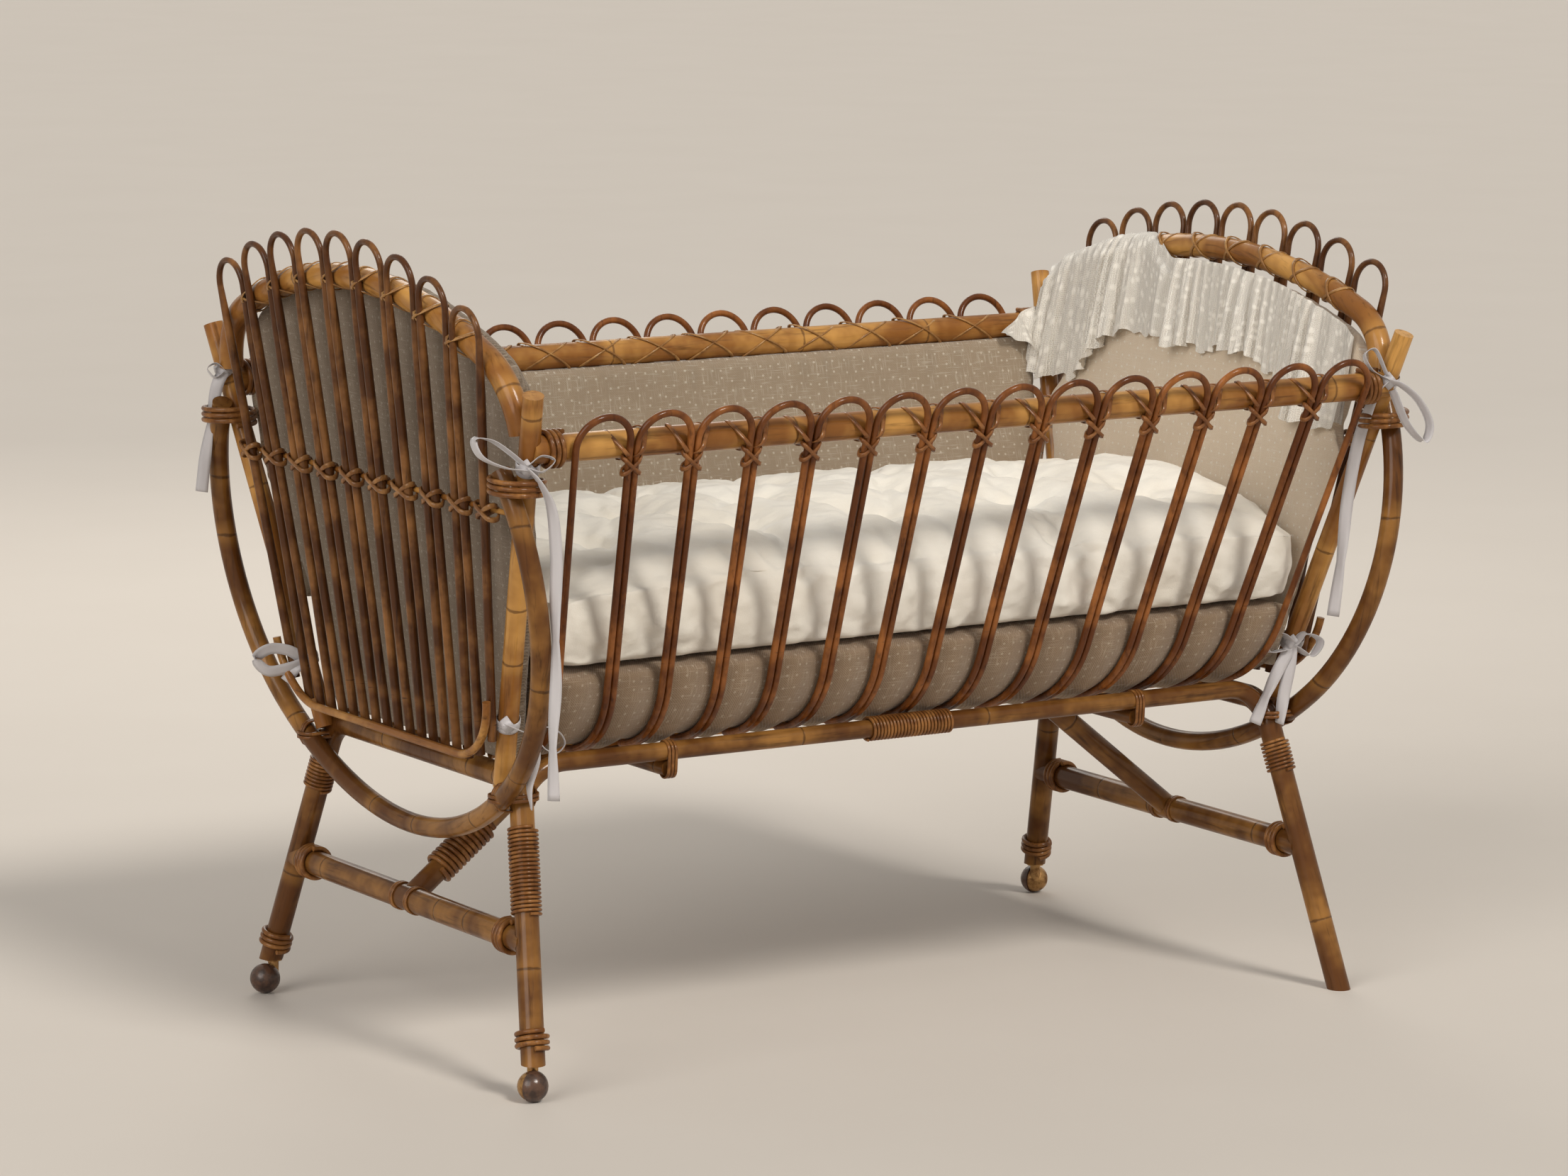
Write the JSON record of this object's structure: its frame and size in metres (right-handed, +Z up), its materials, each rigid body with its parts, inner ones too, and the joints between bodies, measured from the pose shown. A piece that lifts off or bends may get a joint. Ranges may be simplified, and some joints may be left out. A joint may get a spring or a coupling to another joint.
{
  "type": "rattan cradle",
  "caption": "Rattan cradle basket on two bent trestles, with looped cane sides, arched ends, side hoops, ball casters, a tufted mattress, linen bumpers, lace and ribbon ties.",
  "frame": {"origin": "on the floor, under the middle of the cradle", "axes": "+X along the cradle to its lace-trimmed right end, -Y the near side, +Z up"},
  "size_m": [1.207, 0.744, 0.8913],
  "materials": {
    "rattan_pole": "clear varnish",
    "slat_cane": "clear varnish",
    "panel_cane": "clear varnish",
    "floor_cane": "clear varnish",
    "binding_cane": "clear varnish",
    "brass": "aged",
    "caster_wheel": "dark hard resin",
    "steel_nail": "plain",
    "dotted_linen": "woven linen with small dots",
    "end_linen": "woven linen with small dots",
    "ivory_cotton": "soft tufted cotton",
    "lace": "open lace",
    "ribbon": "satin"
  },
  "bodies": {
    "cradle": {"base_pad": "dotted_linen", "brace_binding": "binding_cane", "crossbar_bindings": "binding_cane", "far_bottom_rail": "rattan_pole", "far_bumper": "dotted_linen", "far_left_caster_sleeve": "brass", "far_left_post": "rattan_pole", "far_right_caster_sleeve": "brass", "far_right_post": "rattan_pole", "far_side_canes": "slat_cane", "far_top_rail": "rattan_pole", "floor_canes": "floor_cane", "foot_bindings": "binding_cane", "hoop_top_bindings": "binding_cane", "joint_nails": "steel_nail", "lace_trim": "lace", "left_arch": "rattan_pole", "left_brace": "rattan_pole", "left_bumper": "end_linen", "left_crossbar": "rattan_pole", "left_end_bow": "panel_cane", "left_end_canes": "panel_cane", "left_floor_bearer": "rattan_pole", "left_hoop": "rattan_pole", "left_trestle": "rattan_pole", "left_weaver": "panel_cane", "leg_bindings": "binding_cane", "lower_ties": "ribbon", "mattress": "ivory_cotton", "near_bottom_rail": "rattan_pole", "near_left_caster_sleeve": "brass", "near_left_post": "rattan_pole", "near_right_post": "rattan_pole", "near_side_canes": "slat_cane", "near_top_rail": "rattan_pole", "rail_end_bindings": "binding_cane", "rail_splice_bindings": "binding_cane", "right_arch": "rattan_pole", "right_brace": "rattan_pole", "right_bumper": "end_linen", "right_crossbar": "rattan_pole", "right_end_bow": "panel_cane", "right_end_canes": "panel_cane", "right_floor_bearer": "rattan_pole", "right_hoop": "rattan_pole", "right_trestle": "rattan_pole", "right_weaver": "panel_cane", "upper_ties": "ribbon"},
    "near_left_swivel": {"near_left_caster_hood": "brass", "near_left_caster_axle": "brass"},
    "near_left_wheel": {"near_left_caster_wheel": "caster_wheel"},
    "far_left_swivel": {"far_left_caster_hood": "brass", "far_left_caster_axle": "brass"},
    "far_left_wheel": {"far_left_caster_wheel": "caster_wheel"},
    "far_right_swivel": {"far_right_caster_hood": "brass", "far_right_caster_axle": "brass"},
    "far_right_wheel": {"far_right_caster_wheel": "caster_wheel"}
  },
  "joints": [
    {"name": "near_left_swivel", "type": "hinge", "parent": "cradle", "child": "near_left_swivel", "pos_m": [-0.52201, -0.291, 0.04], "axis": [0, 0, 1], "continuous": true},
    {"name": "near_left_wheel", "type": "hinge", "parent": "near_left_swivel", "child": "near_left_wheel", "pos_m": [-0.52807, -0.30066, 0.017], "axis": [0.342, -0.9397, 0], "continuous": true},
    {"name": "far_left_swivel", "type": "hinge", "parent": "cradle", "child": "far_left_swivel", "pos_m": [-0.52201, 0.291, 0.04], "axis": [0, 0, 1], "continuous": true},
    {"name": "far_left_wheel", "type": "hinge", "parent": "far_left_swivel", "child": "far_left_wheel", "pos_m": [-0.5333, 0.28944, 0.017], "axis": [-0.5, -0.866, 0], "continuous": true},
    {"name": "far_right_swivel", "type": "hinge", "parent": "cradle", "child": "far_right_swivel", "pos_m": [0.52201, 0.291, 0.04], "axis": [0, 0, 1], "continuous": true},
    {"name": "far_right_wheel", "type": "hinge", "parent": "far_right_swivel", "child": "far_right_wheel", "pos_m": [0.52807, 0.30066, 0.017], "axis": [-0.342, 0.9397, 0], "continuous": true}
  ]
}
